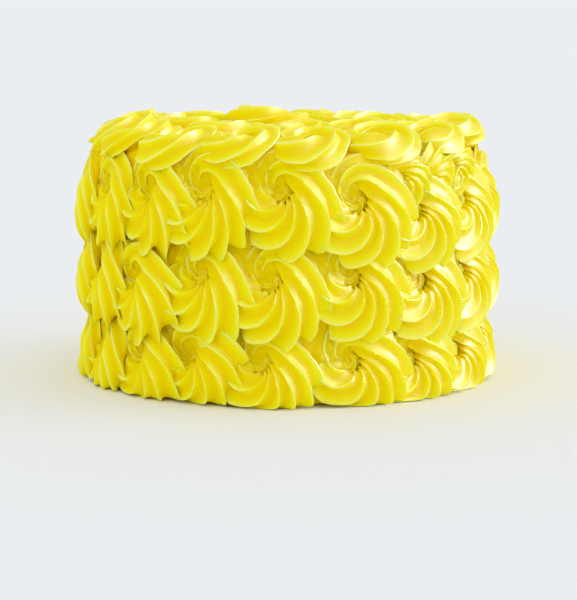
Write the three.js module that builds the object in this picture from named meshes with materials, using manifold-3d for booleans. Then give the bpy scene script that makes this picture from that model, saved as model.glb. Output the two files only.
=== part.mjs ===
// A rose cake: a round sponge cake covered in large piped buttercream rosettes.
// Three rows of rosettes climb the side, and the top has an outer ring, an inner ring and one
// rosette in the middle. Millimetres, +Z up, the middle of the flat base at the origin, and the
// side shown to the viewer faces -Y.
import * as THREE from 'three';
import { mergeVertices } from 'three/addons/utils/BufferGeometryUtils.js';
import Module from 'manifold-3d';

// Driving dimensions
const cakeRadius = 101.6; // an 8-inch tin
const cakeHeight = 128; // three layers, 5 inches in all
const sideColumns = 18;
// The lower and upper edge of each row, the height of the eyes of its rosettes, and its turn
const sideRows = [
  { name: 'bottom', low: 0, high: 36, eye: 27.5, turn: -0.3 },
  { name: 'middle', low: 36, high: 77.5, eye: 66.5, turn: 1 },
  { name: 'top', low: 77.5, high: 128, eye: 109, turn: 2.2 },
];
// The rings on the top: turn is how far round the first rosette sits, in degrees, and tall how
// high the ring stands beside the rosettes of the side
const outerRing = { count: 16, turn: 8.5, inner: 66.5, outer: 114, tilt: 0.16, tall: 1.03 };
const innerRing = { count: 8, turn: 4, inner: 28.5, outer: 66.5, tilt: 0, tall: 1.08 };
const middleTall = 1.3;
const seam = 0.3; // clearance between neighbouring pieces
const seed = 20;

// The ridges of a rosette spiral outwards clockwise from its eye to its rim.
const ridges = 7;
const sweep = THREE.MathUtils.degToRad(130); // how far a ridge turns between eye and rim
const eyeHeight = 11.5;
// Rings from eye to rim: part of the way out, height above the sponge, depth of the ridges
const swells = [
  { out: 0.2, height: 14.2, ridge: 0.8 },
  { out: 0.45, height: 16, ridge: 1.9 },
  { out: 0.74, height: 14.6, ridge: 2.3 },
  { out: 1, height: 8.8, ridge: 1.8 },
];
const tail = { angle: THREE.MathUtils.degToRad(-30), lift: 2.6 }; // where the rope ends, on top

// Numbers from 0 to 1, the same on each run.
function randomFrom(start) {
  let state = start;
  return () => {
    state = (state + 0x6d2b79f5) | 0;
    let mixed = Math.imul(state ^ (state >>> 15), 1 | state);
    mixed = (mixed + Math.imul(mixed ^ (mixed >>> 7), 61 | mixed)) ^ mixed;
    return ((mixed ^ (mixed >>> 14)) >>> 0) / 4294967296;
  };
}
const random = randomFrom(seed);
const between = (low, high) => low + (high - low) * random();

// How far a rosette runs from its middle in one direction before it leaves its cell.
function reachOf(angle, inCell) {
  let near = 0;
  let far = 60;
  for (let step = 0; step < 24; step++) {
    const middle = (near + far) / 2;
    if (inCell(middle * Math.cos(angle), middle * Math.sin(angle))) near = middle;
    else far = middle;
  }
  return near;
}

// The direction of a corner of the cell, if one lies within a limit of the angle, or the angle
function snapped(angle, corners, limit) {
  const gap = (corner) => Math.abs(Math.atan2(Math.sin(angle - corner), Math.cos(angle - corner)));
  const near = corners.find((corner) => gap(corner) < limit);
  return near ?? angle;
}

// One rosette as a closed solid. inCell(u, v) says what ground it may cover, seen from its
// middle, corners are the directions of the corners of that ground, and place(u, v, height)
// puts a point of it in space. foot is the height of its underside at the eye and at the rim.
function rosetteGeometry({ inCell, corners = [], eye, place, foot, tall = 1 }) {
  const columns = 2 * ridges;
  const step = (2 * Math.PI) / columns;
  const start = between(0, 2 * Math.PI);
  const plump = between(0.94, 1.03) * tall;
  const points = [place(eye.x, eye.y, eyeHeight * plump)];
  const addRing = (out, heightOf) => {
    for (let column = 0; column < columns; column++) {
      const side = column % 2 ? -1 : 1;
      const turned = start + step * column - sweep * out;
      const angle = out === 1 ? snapped(turned, corners, step / 2) : turned;
      const reach = reachOf(angle, inCell) * (side < 0 ? 0.96 : 1);
      const u = THREE.MathUtils.lerp(eye.x, reach * Math.cos(angle), out);
      const v = THREE.MathUtils.lerp(eye.y, reach * Math.sin(angle), out);
      points.push(place(u, v, heightOf(side, angle)));
    }
  };
  for (const { out, height, ridge } of swells) {
    const lift = (angle) => out * tail.lift * Math.cos(angle - tail.angle);
    addRing(out, (side, angle) => height * plump + side * ridge + lift(angle));
  }
  addRing(1, () => foot.rim);
  points.push(place(eye.x, eye.y, foot.eye));

  const rings = swells.length + 1;
  const indices = [];
  const at = (ring, column) => 1 + ring * columns + (column % columns);
  for (let column = 0; column < columns; column++) {
    indices.push(0, at(0, column), at(0, column + 1));
    for (let ring = 0; ring < rings - 1; ring++) {
      indices.push(at(ring, column), at(ring + 1, column), at(ring + 1, column + 1));
      indices.push(at(ring, column), at(ring + 1, column + 1), at(ring, column + 1));
    }
    indices.push(points.length - 1, at(rings - 1, column + 1), at(rings - 1, column));
  }
  const geometry = new THREE.BufferGeometry().setFromPoints(points);
  geometry.setIndex(indices);
  return geometry;
}

// A side rosette, built facing -Y. u runs along the side to the right and v runs up. Its eye
// sits up and to the left of its middle, so its ridges fan out longest below.
function sideRosette(row) {
  const halfWidth = (Math.PI * cakeRadius) / sideColumns - seam / 2;
  const low = row.low > 0 ? row.low + seam / 2 : 0;
  const halfHeight = (row.high - seam / 2 - low) / 2;
  const middle = low + halfHeight;
  const eye = new THREE.Vector2(between(-7, -5), row.eye - middle + between(-1.2, 1.2));
  const across = halfWidth * between(1.2, 1.34);
  const along = halfHeight * between(1.3, 1.42);
  const inCell = (u, v) =>
    Math.abs(u) < halfWidth && Math.abs(v) < halfHeight && Math.hypot(u / across, v / along) < 1;
  const corner = Math.atan2(halfHeight, halfWidth);
  const corners = [corner, Math.PI - corner, corner - Math.PI, -corner];
  const place = (u, v, height) => {
    const angle = u / cakeRadius;
    const radius = cakeRadius + height;
    return new THREE.Vector3(radius * Math.sin(angle), -radius * Math.cos(angle), middle + v);
  };
  return rosetteGeometry({ inCell, corners, eye, place, foot: { eye: 1.3, rim: 0.5 } });
}

// A rosette of a ring on the top, built on the -Y side of the ring. u runs to the right and v
// runs towards the middle of the cake. The rosettes of a ring run a little into their
// neighbours, and lean outwards by the ring's tilt.
function ringRosette({ count, inner, outer, tilt, tall }) {
  const fused = 0.5;
  const halfDepth = (outer - inner) / 2;
  const middle = inner + halfDepth;
  const eye = new THREE.Vector2(between(-4, -1), between(-1, 3));
  const across = 24;
  const along = halfDepth * 1.25;
  const halfTurn = Math.PI / count;
  const inCell = (u, v) => {
    const out = middle - v;
    const radius = Math.hypot(u, out);
    const sideways = Math.abs(u) * Math.cos(halfTurn) - out * Math.sin(halfTurn);
    const inSector = radius > inner + seam && radius < outer - seam / 2 && sideways < fused;
    return inSector && Math.hypot(u / across, v / along) < 1;
  };
  const place = (u, v, height) => {
    const lean = 1 + (tilt * v) / halfDepth;
    return new THREE.Vector3(u, v - middle, seam + height * lean);
  };
  return rosetteGeometry({ inCell, eye, place, foot: { eye: 0, rim: 0 }, tall });
}

// The rosette in the middle of the top, the tallest of all
function middleRosette() {
  const eye = new THREE.Vector2(-6, 2);
  const inCell = (u, v) => Math.hypot(u, v) < innerRing.inner - seam;
  const place = (u, v, height) => new THREE.Vector3(u, v, seam + height);
  return rosetteGeometry({ inCell, eye, place, foot: { eye: 0, rim: 0 }, tall: middleTall });
}

const wasm = await Module();
wasm.setup();

function solidFrom(geometry) {
  const merged = mergeVertices(geometry, 1e-4);
  const vertProperties = merged.attributes.position.array;
  const triVerts = new Uint32Array(merged.index.array);
  return new wasm.Manifold(new wasm.Mesh({ numProp: 3, vertProperties, triVerts }));
}

function geometryFrom(solid) {
  const { vertProperties, triVerts } = solid.getMesh();
  const geometry = new THREE.BufferGeometry();
  geometry.setAttribute('position', new THREE.BufferAttribute(vertProperties, 3));
  geometry.setIndex(new THREE.BufferAttribute(triVerts, 1));
  return geometry;
}

// A ring of rosettes that have run together into one piece of icing.
function fusedRing(ring) {
  let fused = null;
  for (let step = 0; step < ring.count; step++) {
    const turn = THREE.MathUtils.degToRad(ring.turn) + (2 * Math.PI * step) / ring.count;
    const rosette = ringRosette(ring).rotateZ(turn);
    const solid = solidFrom(rosette);
    fused = fused ? fused.add(solid) : solid;
  }
  return geometryFrom(fused);
}

// Chocolate sponge, with its upper edge a little rounded
function spongeGeometry() {
  const softEdge = 3;
  const outline = [
    new THREE.Vector2(0, 0),
    new THREE.Vector2(cakeRadius, 0),
    new THREE.Vector2(cakeRadius, cakeHeight - softEdge),
    new THREE.Vector2(cakeRadius - softEdge, cakeHeight),
    new THREE.Vector2(0, cakeHeight),
  ];
  return new THREE.LatheGeometry(outline, 3 * sideColumns).rotateX(Math.PI / 2);
}

const buttercream = new THREE.MeshStandardMaterial({ color: 0xf5e600, roughness: 0.42, metalness: 0 });
const sponge = new THREE.MeshStandardMaterial({ color: 0x3b1d0e, roughness: 0.95, metalness: 0 });

function named(name, geometry, material) {
  geometry.computeVertexNormals();
  const mesh = new THREE.Mesh(geometry, material);
  mesh.name = name;
  return mesh;
}

const cake = new THREE.Group();
cake.add(named('sponge', spongeGeometry(), sponge));

for (const row of sideRows) {
  const rowGroup = new THREE.Group();
  rowGroup.rotation.z = THREE.MathUtils.degToRad(row.turn);
  for (let column = 0; column < sideColumns; column++) {
    const number = String(column + 1).padStart(2, '0');
    const rosette = named(`${row.name}_row_rosette_${number}`, sideRosette(row), buttercream);
    rosette.rotation.z = (2 * Math.PI * column) / sideColumns;
    rowGroup.add(rosette);
  }
  cake.add(rowGroup);
}

const topping = new THREE.Group();
topping.position.z = cakeHeight;
topping.add(named('top_outer_ring', fusedRing(outerRing), buttercream));
topping.add(named('top_inner_ring', fusedRing(innerRing), buttercream));
topping.add(named('top_middle_rosette', middleRosette(), buttercream));
cake.add(topping);

export default cake;
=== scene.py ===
import math
import random
import bpy
from mathutils import Matrix, Vector


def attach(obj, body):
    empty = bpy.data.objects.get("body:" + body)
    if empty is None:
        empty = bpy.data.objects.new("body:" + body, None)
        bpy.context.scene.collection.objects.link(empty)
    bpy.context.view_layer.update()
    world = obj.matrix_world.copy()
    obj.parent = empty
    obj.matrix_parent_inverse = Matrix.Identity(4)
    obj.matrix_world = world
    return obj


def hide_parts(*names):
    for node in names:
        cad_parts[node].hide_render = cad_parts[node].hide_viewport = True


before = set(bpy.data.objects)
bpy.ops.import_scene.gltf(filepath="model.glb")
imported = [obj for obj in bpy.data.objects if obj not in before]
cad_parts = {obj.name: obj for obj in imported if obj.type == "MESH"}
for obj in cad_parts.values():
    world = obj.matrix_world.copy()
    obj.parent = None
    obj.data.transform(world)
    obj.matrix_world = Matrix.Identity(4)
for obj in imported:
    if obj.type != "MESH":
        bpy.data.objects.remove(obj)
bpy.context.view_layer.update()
mm = 0.001


# ---- small helpers

def nothingSelected():
    if bpy.context.object and bpy.context.object.mode != "OBJECT":
        bpy.ops.object.mode_set(mode="OBJECT")
    bpy.ops.object.select_all(action="DESELECT")


def onlySelected(piece):
    nothingSelected()
    piece.select_set(True)
    bpy.context.view_layer.objects.active = piece


def pick(piece, points):  # edit mode, with only these points selected
    onlySelected(piece)
    bpy.ops.object.mode_set(mode="EDIT")
    bpy.ops.mesh.select_mode(type="VERT")
    bpy.ops.mesh.select_all(action="DESELECT")
    bpy.ops.object.mode_set(mode="OBJECT")
    for index in points:
        piece.data.vertices[index].select = True
    bpy.ops.object.mode_set(mode="EDIT")


def turnBy(angle, axis, centre):  # with no window the operator turns the other way
    bpy.ops.transform.rotate(value=-angle, orient_axis=axis, center_override=centre)


def settle(piece):  # the place goes into the mesh, and the object stays at the origin
    onlySelected(piece)
    bpy.ops.object.transform_apply(location=True, rotation=True, scale=True)


def along(keys, at):  # a smooth run through (place, value, value, ...) rows
    for low, high in zip(keys, keys[1:]):
        if at <= high[0]:
            part = max(0.0, (at - low[0]) / (high[0] - low[0]))
            part = part * part * (3 - 2 * part) * 0.5 + part * 0.5
            return [a + (b - a) * part for a, b in zip(low[1:], high[1:])]
    return list(keys[-1][1:])


class Wire:
    def __init__(self, tree, socket=None):
        self.tree = tree
        self.socket = socket

    def node(self, kind, sockets=None, out=0, stops=None, **settings):
        made = self.tree.nodes.new(kind)
        for name, value in settings.items():
            setattr(made, name, value)
        if stops:
            ramp = made.color_ramp.elements
            while len(ramp) < len(stops):
                ramp.new(0.5)
            for element, (place, colour) in zip(ramp, stops):
                element.position = place
                element.color = (*colour, 1.0) if len(colour) == 3 else colour
        for name, value in (sockets or {}).items():
            if isinstance(value, Wire):
                self.tree.links.new(value.socket, made.inputs[name])
            else:
                made.inputs[name].default_value = value
        return Wire(self.tree, made.outputs[out] if out is not None else None)

    def sums(self, operation, first, second):
        return self.node("ShaderNodeMath", {0: first, 1: second}, operation=operation)

    def __add__(self, other):
        return self.sums("ADD", self, other)

    def __radd__(self, other):
        return self.sums("ADD", other, self)

    def __sub__(self, other):
        return self.sums("SUBTRACT", self, other)

    def __rsub__(self, other):
        return self.sums("SUBTRACT", other, self)

    def __mul__(self, other):
        return self.sums("MULTIPLY", self, other)

    def __rmul__(self, other):
        return self.sums("MULTIPLY", other, self)

    def __pow__(self, other):
        return self.sums("POWER", self, other)

    def mixed(self, first, second):  # this value chooses between two colours
        return self.node("ShaderNodeMix", {0: self, 6: first, 7: second}, out=2,
                         data_type="RGBA", clamp_factor=True)


def newMaterial(name):
    material = bpy.data.materials.new(name)
    material.use_nodes = True
    material.node_tree.nodes.clear()
    return material, Wire(material.node_tree)


# ---- buttercream

icing = {
    "yellow": (0.968, 0.935, 0.0, 1),
    "deepYellow": (0.968, 0.902, 0.0, 1),
    "shadeYellow": (0.97, 0.675, 0.0, 1),   # painted shade, deep between the ridges and swirls
    # painted highlight: a paler yellow along the crest lines, and how much of it
    "highlightYellow": (1.0, 0.97, 0.27, 1),
    "highlightShare": 0.9,
    # how much painted shade goes into the grooves between the ridges
    "shadeShare": 0.75,
    "coreRadius": 0.1016,
    "coreHeight": 0.128,
    "roughness": 0.48,
    "gloss": 0.04,
    "soak": 0.3,             # how much light goes in and comes out again
    "soakDepth": 0.004,
    "grain": 0.00010,
}


def makeIcing():
    material, w = newMaterial("buttercream")
    place = w.node("ShaderNodeTexCoord", out=3)
    slow = w.node("ShaderNodeTexNoise", {"Vector": place, "Scale": 28.0, "Detail": 3.0})
    fine = w.node("ShaderNodeTexNoise", {"Vector": place, "Scale": 900.0, "Detail": 3.0})
    soft = w.node("ShaderNodeTexNoise", {"Vector": place, "Scale": 190.0, "Detail": 2.0})
    crest = w.node("ShaderNodeAttribute", out=2, attribute_name="crest")
    axis = w.node("ShaderNodeVectorMath", {0: place, 1: (1, 1, 0)}, operation="MULTIPLY")
    radius = w.node("ShaderNodeVectorMath", {0: axis}, out=1, operation="LENGTH")
    above = w.node("ShaderNodeSeparateXYZ", {0: place}, out=2) - icing["coreHeight"]
    lift = w.sums("MAXIMUM", radius - icing["coreRadius"], above)
    low = w.node("ShaderNodeMapRange", {0: lift, 1: 0.002, 2: 0.012, 3: 1.0, 4: 0.0},
                 interpolation_type="SMOOTHSTEP")
    # Painted shade: a deeper orange yellow in the hollows near the sponge and down in the grooves between
    # the ridges, where shade falls.
    paintedShade = w.sums("MAXIMUM", low, (1 - crest) ** 1.5 * icing["shadeShare"])
    tint = slow * 1.6 - 0.3
    body = paintedShade.mixed(tint.mixed(icing["deepYellow"], icing["yellow"]), icing["shadeYellow"])
    # Painted highlight: the crest lines are painted paler, more so where they face upwards towards the
    # light.
    facing = w.node("ShaderNodeSeparateXYZ", {0: w.node("ShaderNodeNewGeometry", out=1)}, out=2)
    upward = w.node("ShaderNodeMapRange", {0: facing, 1: -0.5, 2: 0.2, 3: 0.2, 4: 1.0},
                    interpolation_type="SMOOTHSTEP")
    edge = crest ** 5.0 * upward * icing["highlightShare"]
    colour = edge.mixed(body, icing["highlightYellow"])
    height = fine * 0.45 + soft * 0.9
    bump = w.node("ShaderNodeBump", {"Height": height, "Strength": 0.6, "Distance": icing["grain"] * 3})
    skins = [w.node("ShaderNodeBsdfPrincipled", {
        "Base Color": colour,
        "Roughness": soft * 0.16 + (icing["roughness"] - 0.08),
        "Normal": bump,
        "Subsurface Weight": soak,
        "Subsurface Radius": (1.0, 0.6, 0.12),
        "Subsurface Scale": icing["soakDepth"],
        "Specular IOR Level": gloss,
        "IOR": 1.46,
    }) for gloss, soak in ((icing["gloss"], icing["soak"]), (0.0, 0.0))]
    shader = w.node("ShaderNodeMixShader", {0: low, 1: skins[0], 2: skins[1]})  # hollows have no gloss
    w.node("ShaderNodeOutputMaterial", {"Surface": shader}, out=None)
    return material


# ---- one swirl of icing

# The rope runs clockwise round the eye of the swirl, from the curl inside to the wide skirt.
# Each row: degrees clockwise from the top, distance of the rope from the eye, half its
# thickness, the height of its middle, in millimetres, and how far its ridges have rolled,
# in degrees.
swirl = {
    "route": [
        (20, 0.9, 1.3, 6.0, 175),
        (70, 1.8, 2.3, 6.4, 160),
        (120, 2.8, 3.1, 6.6, 140),
        (160, 3.8, 3.7, 6.4, 118),
        (200, 5.0, 4.1, 6.0, 96),
        (240, 6.6, 4.7, 5.2, 70),
        (275, 9.0, 5.6, 4.4, 46),
        (305, 11.0, 6.8, 4.2, 28),
        (335, 12.4, 8.1, 4.6, 12),
        (360, 13.0, 9.1, 5.2, 4),
        (390, 13.4, 10.4, 6.1, -2),
        (420, 14.4, 12.0, 7.2, -8),
        (440, 15.6, 13.4, 8.2, -20),
        (452, 16.4, 14.4, 8.8, -34),
        (463, 17.2, 15.2, 9.2, -52),
        (477, 18.0, 16.0, 9.6, -76),
        (490, 18.8, 16.6, 9.8, -102),
        (500, 19.3, 17.0, 9.9, -124),
        (511, 19.6, 17.2, 9.8, -150),
        (522, 19.5, 17.2, 9.6, -176),
        (534, 18.9, 16.4, 9.2, -202),
        (547, 18.3, 15.7, 8.7, -228),
        (560, 17.5, 14.7, 8.2, -252),
        (574, 16.5, 13.6, 7.7, -275),
        (590, 15.3, 12.3, 7.1, -299),
        (606, 14.0, 10.7, 6.5, -321),
        (620, 12.8, 8.6, 5.8, -339),
        (630, 12.0, 5.8, 5.3, -351),
        (636, 11.6, 2.4, 5.0, -357),
    ],
    "bed": {"at": (5, -6, 0.4), "size": (27, 29, 11), "square": 3.2, "ridges": 12, "twist": 70,
            "depth": 0.3, "dip": 0.5},
    "heart": {"at": (2.5, -3.5, 2.6), "size": (9, 9, 4.2), "square": 2.0},
    "teeth": 6,
    # Round one tooth of the nozzle: degrees from its tip, and reach
    "tooth": [(-30, 0.62), (-21, 0.65), (-12.5, 0.735), (-5.5, 0.86), (-1.3, 1.0),
              (1.3, 1.0), (5.5, 0.86), (12.5, 0.735), (21, 0.65)],
    "undercut": 0.45,        # how far the rope draws in underneath, on its outer side
    "innerSoft": 0.8,        # how far the ridges fill in where they run down to the eye
    "flare": 0.1,            # how far a ridge stands out where it leaves the rope
    "firstTooth": 58,        # degrees from flat outwards, at the top of the swirl
    "flatten": 0.56,
    "steps": 88,
    "blunt": 0,              # rings at the end over which the ridges die away
    "kinds": 8,
    "seed": 7,
    "middle": (6.0, -8.0),   # the middle of the swirl, from its eye
}


def starRing(shape, dice):  # the mouth of the nozzle, standing on edge and facing along Y
    parts = len(shape["tooth"])
    points = shape["teeth"] * parts
    bpy.ops.mesh.primitive_circle_add(vertices=points, radius=1.0, fill_type="NGON",
                                      location=(0, 0, 0), rotation=(math.pi / 2, 0, 0))
    ring = bpy.context.object
    settle(ring)
    ring.data.attributes.new("crest", "FLOAT", "POINT")
    angles = [math.atan2(v.co.z, v.co.x) % (2 * math.pi) for v in ring.data.vertices]
    order = sorted(range(points), key=lambda i: angles[i])
    for part, (degrees, reach) in enumerate(shape["tooth"]):
        chosen = order[part::parts]
        for index in chosen:
            ring.data.attributes["crest"].data[index].value = (reach - 0.62) / 0.38
        pick(ring, chosen)
        wanted = math.radians(degrees + 180 / shape["teeth"])
        turnBy(angles[order[part]] - wanted, "Y", (0, 0, 0))
        bpy.ops.transform.resize(value=(reach, reach, reach), center_override=(0, 0, 0))
        bpy.ops.object.mode_set(mode="OBJECT")
    for tooth in range(shape["teeth"]):  # no two teeth leave quite the same ridge
        pick(ring, order[tooth * parts + 1:(tooth + 1) * parts])
        turnBy(math.radians(dice.uniform(-5, 5)), "Y", (0, 0, 0))
        longer = dice.uniform(0.93, 1.04)
        bpy.ops.transform.resize(value=(longer, longer, longer), center_override=(0, 0, 0))
        bpy.ops.object.mode_set(mode="OBJECT")
    return ring


def stepsAlong(route, count):  # closer together where the rope rolls or swells quickly
    start, end = int(route[0][0]), int(route[-1][0])
    gone = [0.0]
    for degrees in range(start, end):
        _, half, _, roll = along(route, degrees)
        _, nextHalf, _, nextRoll = along(route, degrees + 1)
        gone.append(gone[-1] + 1 / 8 + abs(nextRoll - roll) / 13 + abs(nextHalf - half) / 1.3)
    places = []
    for step in range(count + 1):
        wanted = gone[-1] * step / count
        at = max(i for i, value in enumerate(gone) if value <= wanted + 1e-9)
        over = wanted - gone[at]
        part = over / (gone[at + 1] - gone[at]) if at + 1 < len(gone) else 0.0
        places.append(start + at + part)
    return places


def wind(shape, dice):
    rope = starRing(shape, dice)
    points = len(rope.data.vertices)
    grow = dice.uniform(0.96, 1.05)
    firstTooth = shape["firstTooth"] + dice.uniform(-14, 14)
    rolling = dice.uniform(0.9, 1.06)
    flat = shape["flatten"]
    wobble = [dice.uniform(0, 2 * math.pi) for _ in range(3)]

    def at(degrees):
        distance, half, height, roll = along(shape["route"], degrees)
        sway = math.sin(math.radians(degrees) * 1.3 + wobble[0])
        distance = distance * grow * (1 + 0.04 * sway)
        half = half * (1 + 0.045 * math.sin(math.radians(degrees) * 1.7 + wobble[1]))
        return distance * mm, half * mm, height * mm / flat, math.radians(firstTooth + roll * rolling)

    places = stepsAlong(shape["route"], shape["steps"])
    distance, half, height, roll = at(places[0])
    bpy.ops.object.mode_set(mode="EDIT")
    bpy.ops.mesh.select_all(action="SELECT")
    bpy.ops.transform.resize(value=(half, half, half), center_override=(0, 0, 0))
    turnBy(math.pi / shape["teeth"] - roll, "Y", (0, 0, 0))
    bpy.ops.transform.translate(value=(distance, 0, height))
    for was, degrees in zip(places, places[1:]):
        newDistance, newHalf, newHeight, newRoll = at(degrees)
        turned = math.radians(degrees - was)
        middle = (distance, 0, height)
        bpy.ops.mesh.extrude_region_move(TRANSFORM_OT_translate={"value": (0, 0, 0)})
        bpy.ops.mesh.select_all(action="INVERT")
        turnBy(turned, "Z", (0, 0, 0))  # what is laid down turns away under the nozzle
        bpy.ops.mesh.select_all(action="INVERT")
        turnBy(roll - newRoll, "Y", middle)
        size = newHalf / half
        bpy.ops.transform.resize(value=(size, size, size), center_override=middle)
        bpy.ops.transform.translate(value=(newDistance - distance, 0, newHeight - height))
        distance, half, height, roll = newDistance, newHalf, newHeight, newRoll
    bpy.ops.mesh.select_all(action="SELECT")
    turnBy(-math.radians(places[-1] - 90), "Z", (0, 0, 0))
    bpy.ops.transform.resize(value=(1, 1, flat), center_override=(0, 0, 0))
    bpy.ops.mesh.normals_make_consistent(inside=False)
    bpy.ops.object.mode_set(mode="OBJECT")
    shapeOutside(rope, points, shape)
    return rope


def shapeOutside(rope, points, shape):  # ridges stand out at the rim, and draw in underneath
    vertices = rope.data.vertices
    crest = rope.data.attributes["crest"].data
    rings = len(vertices) // points
    for number in range(rings):
        ring = range(number * points, (number + 1) * points)
        middle = sum((vertices[i].co for i in ring), Vector()) / points
        outward = Vector((middle.x, middle.y, 0)).normalized()
        deep = max((vertices[i].co - middle).z for i in ring)
        even = sum((vertices[i].co - middle).length for i in ring) / points
        wide = max((vertices[i].co - middle).dot(outward) for i in ring)
        thick = min(1.0, max(0.0, (wide / mm - 6) / 6))
        dying = max(0.0, 1 - (rings - 1 - number) / shape["blunt"]) if shape["blunt"] else 0.0
        for i in ring:
            place = vertices[i].co
            smooth = even / max(1e-9, (place - middle).length)
            place += (place - middle) * (smooth - 1) * min(1.0, dying * 1.4)
            inward = -(place - middle).dot(outward) / wide
            fill = shape["innerSoft"] * thick * min(1.0, max(0.0, (inward - 0.05) / 0.6))
            upright = (place - middle).z / shape["flatten"]
            reach = math.hypot((place - middle).dot(outward), upright) / wide
            place += (place - middle) * (0.88 / max(0.3, reach) - 1) * fill
            crest[i].value *= 1 - fill * 0.7
            out, above = (place - middle).dot(outward), (place.z - middle.z) / deep
            if out > 0 and above < 0:
                place -= outward * out * shape["undercut"] * min(1.0, -above / 0.35)
            elif out > 0 and above < 0.5:
                place += outward * out * shape["flare"] * crest[i].value * (1 - above / 0.5)


def mound(facts):  # the icing that fills the eye and runs out under the rope
    ridges = facts.get("ridges", 0)
    bpy.ops.mesh.primitive_uv_sphere_add(segments=max(24, ridges * 6), ring_count=14, radius=1.0,
                                         location=(0, 0, 0))
    pad = bpy.context.object
    for vertex in pad.data.vertices:  # ridges that turn as they run out, like those of the rope
        out = math.hypot(vertex.co.x, vertex.co.y)
        if ridges and vertex.co.z > 0:
            turn = math.atan2(vertex.co.y, vertex.co.x) + math.radians(facts["twist"]) * out
            crease = abs(math.sin(turn * ridges / 2))
            rise = min(1.0, max(0.0, (out - 0.25) / 0.4))
            vertex.co.z *= (1 - facts["depth"] * crease) * (facts["dip"] + (1 - facts["dip"]) * rise)
    for vertex in pad.data.vertices:  # squarer, so that it reaches into the corners
        x, y, square = abs(vertex.co.x), abs(vertex.co.y), facts["square"]
        if x + y > 1e-6:
            stretch = math.hypot(x, y) / (x ** square + y ** square) ** (1 / square)
            vertex.co.x *= stretch
            vertex.co.y *= stretch
    bpy.ops.transform.resize(value=[size * mm for size in facts["size"]])
    bpy.ops.transform.translate(value=[place * mm for place in facts["at"]])
    settle(pad)
    return pad


def makeSwirls(shape, material):
    dice = random.Random(shape["seed"])
    kinds = []
    for kind in range(shape["kinds"]):
        rope = wind(shape, dice)
        pad = mound(shape["bed"])
        heart = mound(shape["heart"])
        nothingSelected()
        pad.select_set(True)
        heart.select_set(True)
        rope.select_set(True)
        bpy.context.view_layer.objects.active = rope
        bpy.ops.object.join()
        rope.location = (-shape["middle"][0] * mm, -shape["middle"][1] * mm, 0)
        settle(rope)
        bpy.ops.object.shade_smooth_by_angle(angle=math.radians(42))
        rope.name = f"swirlKind{kind}"
        rope.data.materials.clear()
        rope.data.materials.append(material)
        kinds.append(rope)
    return kinds


# The swirls on the top are rounder, and their ridges run on along the rope to a blunt end.
topSwirl = {
    **swirl,
    "route": [
        (20, 1.0, 1.4, 5.4, 175),
        (70, 2.2, 2.6, 6.0, 160),
        (120, 4.0, 3.8, 6.8, 140),
        (160, 5.6, 4.6, 7.2, 118),
        (200, 7.2, 5.4, 7.4, 92),
        (240, 8.8, 6.4, 7.4, 64),
        (280, 10.6, 7.4, 7.4, 36),
        (320, 12.0, 8.2, 7.6, 14),
        (360, 13.0, 9.0, 8.0, 0),
        (400, 14.2, 10.0, 8.6, -8),
        (440, 15.6, 11.0, 9.2, -26),
        (480, 17.0, 11.6, 9.6, -58),
        (520, 18.0, 12.0, 9.4, -96),
        (555, 18.4, 12.0, 9.0, -132),
        (575, 18.5, 11.9, 8.6, -152),
        (587, 18.4, 11.6, 8.2, -162),
        (597, 18.3, 10.9, 7.8, -170),
        (606, 18.2, 9.6, 7.4, -177),
        (613, 18.1, 7.8, 7.2, -182),
        (618, 18.0, 5.6, 7.1, -185),
        (621, 18.0, 3.0, 7.1, -187),
        (622, 18.0, 1.2, 7.1, -188),
    ],
    "bed": {"at": (0, 0, -1.0), "size": (29, 29, 11.5), "square": 2.7, "ridges": 12, "twist": 70,
            "depth": 0.3, "dip": 0.7},
    "heart": {"at": (1.5, -2.5, 4.5), "size": (7, 7, 5), "square": 2.0},
    "firstTooth": 70,
    "flatten": 0.84,
    "steps": 84,
    "undercut": 0.1,
    "flare": 0.04,
    "blunt": 22,
    "kinds": 6,
    "seed": 12,
    "middle": (2.0, -3.0),
}


# ---- swirls on the cake

rows = {
    "coreRadius": 101.6,
    "columns": 18,
    "list": [
        {"name": "bottom", "eye": 25.5, "turn": -0.3, "size": 1.01,
         "moved": {-3: (-2.5, -2), -2: (-1.5, -2), -1: (-3, 1.7), 0: (-3, -1.7), 1: (1.7, 0), 2: (0.6, -1.8),
                   3: (1.2, -1.3)}},
        {"name": "middle", "eye": 66.5, "turn": 1.0, "size": 1.05,
         "moved": {-3: (-3, 2), -2: (-3.5, -1.2), -1: (-3, 1), 0: (-2.8, -0.8), 1: (0, 1.7), 2: (1.4, -2.6),
                   3: (2.6, -0.2)}},
        {"name": "top", "eye": 109.0, "turn": 2.2, "size": 1.05,
         "moved": {-3: (0, 2), -2: (0, 2.8), -1: (-2.5, 3.4), 0: (-1.2, 3.8), 1: (0.5, -1.5), 2: (0, -5.9),
                   3: (1, -4)}},
    ],
}
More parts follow.
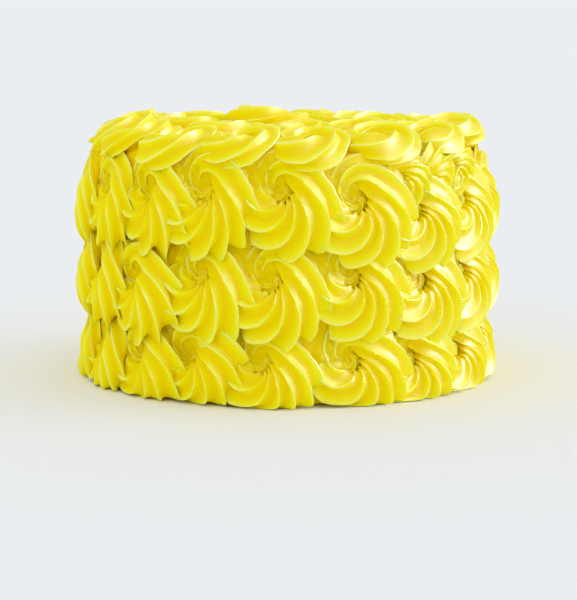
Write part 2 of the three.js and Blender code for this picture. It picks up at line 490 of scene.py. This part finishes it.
# Small dabs where the rows leave a gap: degrees round, height, turn, size, and distance outwards
dabs = {
    "top_swirl_03": [(36, 119, 40, 0.6, 2), (46, 121, 100, 0.62, 2)],
    "top_swirl_04": [(59, 123, 60, 0.6, 1)],
}
tops = {
    "height": 128.0,
    "shoulder": 104.0,       # past this the icing hangs over the edge
    "tucked": 101.0,         # past this the icing under the rope draws in
    "coat": {"at": (0, 0, 126), "size": (103.5, 103.5, 7), "square": 2.0},  # hides the sponge
    "rings": [
        {"node": "top_outer_ring", "count": 16, "radius": 91.0, "phase": 8.5, "size": 0.92, "lean": 13,
         "up": 0.0, "moved": {1: (0, 1.0, -2), 2: (0, 2.0, -7), 3: (0, 3.0, -13), 4: (0, 2.5, -12),
                   11: (0, 2.0, 0), 12: (0, 2.4, 0), 13: (-1, 1.2, 0)},
         "turned": {11: 100, 12: 110, 13: 25}},
        {"node": "top_inner_ring", "count": 8, "radius": 48.0, "phase": 4.0, "size": 0.95, "lean": 3,
         "up": 1.5},
        {"node": "top_middle_rosette", "count": 1, "radius": 7.0, "phase": -90.0, "size": 1.02, "lean": 0,
         "up": 5.5},
    ],
}
unevenness = {"size": 0.7, "grain": 0.028}  # millimetres, and the size of a lump in metres


def copyOf(kind, name, place):
    piece = bpy.data.objects.new(name, kind.data.copy())
    bpy.context.collection.objects.link(piece)
    piece.data.transform(place)
    return piece


def uneven(piece, clouds):
    onlySelected(piece)
    lumps = piece.modifiers.new("lumps", "DISPLACE")
    lumps.texture = clouds
    lumps.texture_coords = "LOCAL"
    lumps.strength = unevenness["size"] * mm * 2
    lumps.mid_level = 0.5
    bpy.ops.object.modifier_apply(modifier="lumps")


def pressDown(piece, floor, soft):  # icing that would sink into the floor spreads on it
    for vertex in piece.data.vertices:
        deep = soft - vertex.co.z
        if deep > 0:
            room = soft - floor
            vertex.co.z = soft - room * (1 - math.exp(-deep / room))


def droop(piece, edge, depth):  # icing past the shoulder of the cake hangs down
    for vertex in piece.data.vertices:
        past = math.hypot(vertex.co.x, vertex.co.y) - edge
        if past > 0:
            vertex.co.z -= depth * past * past


def tuck(piece, points, edge, share):  # what lies under the rope stays behind it
    for vertex in piece.data.vertices[points:]:
        far = math.hypot(vertex.co.x, vertex.co.y)
        if far > edge:
            closer = (edge + (far - edge) * share) / far
            vertex.co.x *= closer
            vertex.co.y *= closer


def sidePlace(degrees, height, roll, size, out=0):
    angle = math.radians(degrees)
    outward = Vector((math.sin(angle), -math.cos(angle), 0))
    right = Vector((math.cos(angle), math.sin(angle), 0))
    at = outward * (rows["coreRadius"] + out) * mm + Vector((0, 0, height * mm))
    axes = Matrix((right, Vector((0, 0, 1)), outward)).transposed().to_4x4()
    return Matrix.Translation(at) @ axes @ Matrix.Rotation(roll, 4, "Z") @ Matrix.Scale(size, 4)


def topPlace(degrees, radius, height, lean, roll, size):
    angle = math.radians(degrees)
    outward = Vector((math.sin(angle), -math.cos(angle), 0))
    right = Vector((math.cos(angle), math.sin(angle), 0))
    at = outward * radius * mm + Vector((0, 0, height * mm))
    axes = Matrix((right, -outward, Vector((0, 0, 1)))).transposed().to_4x4()
    tip = Matrix.Rotation(math.radians(lean), 4, "X")
    return Matrix.Translation(at) @ axes @ tip @ Matrix.Rotation(roll, 4, "Z") @ Matrix.Scale(size, 4)


def finishPiece(piece, *nodes):
    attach(piece, "root")
    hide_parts(*nodes)


def coverSide(kinds, clouds):
    dice = random.Random(11)
    for row in rows["list"]:
        for column in range(rows["columns"]):
            kind = kinds[dice.randrange(len(kinds))]
            around = column if column <= rows["columns"] / 2 else column - rows["columns"]
            moved = row["moved"].get(around, (dice.uniform(-1.8, 1.8), dice.uniform(-2.2, 2.2)))
            degrees = row["turn"] + 360 * column / rows["columns"] + moved[0]
            size = row["size"] * dice.uniform(0.97, 1.03)
            height = row["eye"] + swirl["middle"][1] + moved[1]
            roll = math.radians(dice.uniform(-14, 14))
            name = f"{row['name']}_swirl_{column + 1:02d}"
            piece = copyOf(kind, name, sidePlace(degrees, height, roll, size))
            for around, up, turn, small, out in dabs.get(name, []):
                place = sidePlace(around, up, math.radians(turn), small, out)
                dab = copyOf(kinds[dice.randrange(len(kinds))], "dab", place)
                onlySelected(piece)
                dab.select_set(True)
                bpy.ops.object.join()
            uneven(piece, clouds)
            if row["name"] == "bottom":
                pressDown(piece, 0.05 * mm, 4.5 * mm)
            finishPiece(piece, f"{row['name']}_row_rosette_{column + 1:02d}")


def coverTop(kinds, clouds):
    dice = random.Random(5)
    ropePoints = (topSwirl["steps"] + 1) * topSwirl["teeth"] * len(topSwirl["tooth"])
    for ring in tops["rings"]:
        made = []
        for step in range(ring["count"]):
            kind = kinds[dice.randrange(len(kinds))]
            across, up, lean = ring.get("moved", {}).get(step, (dice.uniform(-1, 1), 0, 0))
            degrees = ring["phase"] + 360 * step / ring["count"] + across
            roll = math.radians(dice.uniform(-20, 20) + ring.get("turned", {}).get(step, 0))
            size = ring["size"] * dice.uniform(0.97, 1.04)
            height = tops["height"] + ring["up"] + up
            place = topPlace(degrees, ring["radius"], height, ring["lean"] + lean, roll, size)
            piece = copyOf(kind, f"{ring['node']}_swirls", place)
            uneven(piece, clouds)
            if ring["node"] == "top_outer_ring":
                tuck(piece, ropePoints, tops["tucked"] * mm, 0.35)
                droop(piece, tops["shoulder"] * mm, 34.0)
            made.append(piece)
        if ring["node"] == "top_outer_ring":
            coat = mound(tops["coat"])
            bpy.ops.object.shade_smooth()
            coat.data.materials.append(kinds[0].data.materials[0])
            made.append(coat)
        nothingSelected()
        for piece in made:
            piece.select_set(True)
        bpy.context.view_layer.objects.active = made[0]
        if len(made) > 1:
            bpy.ops.object.join()
        finishPiece(made[0], ring["node"])


# ---- sponge

sponge = {"crumb": (0.030, 0.012, 0.005, 1), "light": (0.075, 0.032, 0.014, 1)}


def makeSponge():
    material, w = newMaterial("sponge crumb")
    place = w.node("ShaderNodeTexCoord", out=3)
    crumb = w.node("ShaderNodeTexNoise", {"Vector": place, "Scale": 420.0, "Detail": 6.0})
    holes = w.node("ShaderNodeTexVoronoi", {"Vector": place, "Scale": 300.0})
    colour = (crumb * 2.0 - 0.5).mixed(sponge["crumb"], sponge["light"])
    bump = w.node("ShaderNodeBump", {"Height": holes * 0.7 + crumb, "Strength": 1.0, "Distance": 0.0012})
    shader = w.node("ShaderNodeBsdfPrincipled", {
        "Base Color": colour, "Roughness": crumb * 0.1 + 0.85, "Normal": bump,
        "Specular IOR Level": 0.05, "IOR": 1.4})
    w.node("ShaderNodeOutputMaterial", {"Surface": shader}, out=None)
    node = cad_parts["sponge"]
    node.data.materials.clear()
    node.data.materials.append(material)


# ---- stage, light and camera

studio = {
    "floor": (0.935, 0.935, 0.935, 1),
    "sky": (0.838, 0.862, 0.895, 1),
    "key": {"from": (0.95, 0.1, 0.34), "angle": 30, "strength": 0.37, "colour": (1.0, 0.99, 0.97)},
    "fill": {"from": (-0.7, -0.65, 0.3), "angle": 50, "strength": 0.1, "colour": (1.0, 0.99, 0.96)},
    "shine": {"from": (0.93, -0.06, 0.40), "angle": 34, "strength": 110.0, "colour": (1.0, 1.0, 1.0)},
    "glow": {"from": (0.45, -0.3, 0.85), "angle": 24, "strength": 22.0, "colour": (1.0, 1.0, 1.0)},
    "camera": (0, -1.13, 0.2094),
    "pitch": 8.5,
    "lens": 118.7,
}


def makeStage():
    bpy.ops.mesh.primitive_plane_add(size=400, location=(0, 0, 0))
    floor = bpy.context.object
    floor.name = "floor"
    settle(floor)
    material, w = newMaterial("plain floor")
    grain = w.node("ShaderNodeTexNoise", {"Scale": 3.0, "Vector": w.node("ShaderNodeTexCoord", out=3)})
    shader = w.node("ShaderNodeBsdfPrincipled", {
        "Base Color": studio["floor"], "Roughness": grain * 0.05 + 0.9, "Specular IOR Level": 0.0})
    w.node("ShaderNodeOutputMaterial", {"Surface": shader}, out=None)
    floor.data.materials.append(material)


def addLight(name, facts):  # a wide, soft light that reaches the whole floor evenly
    bpy.ops.object.light_add(type="SUN", location=Vector(facts["from"]) * 3)
    light = bpy.context.object
    light.name = name
    light.rotation_euler = (-Vector(facts["from"])).to_track_quat("-Z", "Y").to_euler()
    light.data.angle = math.radians(facts["angle"])
    light.data.energy = facts["strength"]
    light.data.color = facts["colour"]
    return light


def makeSky():
    world = bpy.data.worlds.new("studio")
    world.use_nodes = True
    world.node_tree.nodes.clear()
    w = Wire(world.node_tree)
    sky = w.node("ShaderNodeBackground", {"Color": studio["sky"], "Strength": 1.0})
    w.node("ShaderNodeOutputWorld", {"Surface": sky}, out=None)
    bpy.context.scene.world = world


def makeStudio():
    nothingSelected()
    makeStage()
    addLight("key", studio["key"])
    addLight("fill", studio["fill"])
    for name in ("shine", "glow"):
        addLight(name, studio[name]).visible_diffuse = False  # only brings out the gloss of the icing
    makeSky()
    bpy.ops.object.camera_add(location=studio["camera"],
                              rotation=(math.radians(90 - studio["pitch"]), 0, 0))
    camera = bpy.context.object
    camera.data.sensor_width = 36
    camera.data.lens = studio["lens"]
    camera.data.shift_x = 0.0025
    camera.data.clip_start = 0.05
    camera.data.clip_end = 500
    bpy.context.scene.camera = camera
    bpy.context.scene.view_settings.view_transform = "Standard"


makeStudio()
print("studio ready")
buttercream = makeIcing()
sideKinds = makeSwirls(swirl, buttercream)
topKinds = makeSwirls(topSwirl, buttercream)
print("swirls wound")
lumpClouds = bpy.data.textures.new("lumps", "CLOUDS")
lumpClouds.noise_scale = unevenness["grain"]
coverSide(sideKinds, lumpClouds)
print("side covered")
coverTop(topKinds, lumpClouds)
print("top covered")
for kind in sideKinds + topKinds:
    bpy.data.objects.remove(kind)
makeSponge()
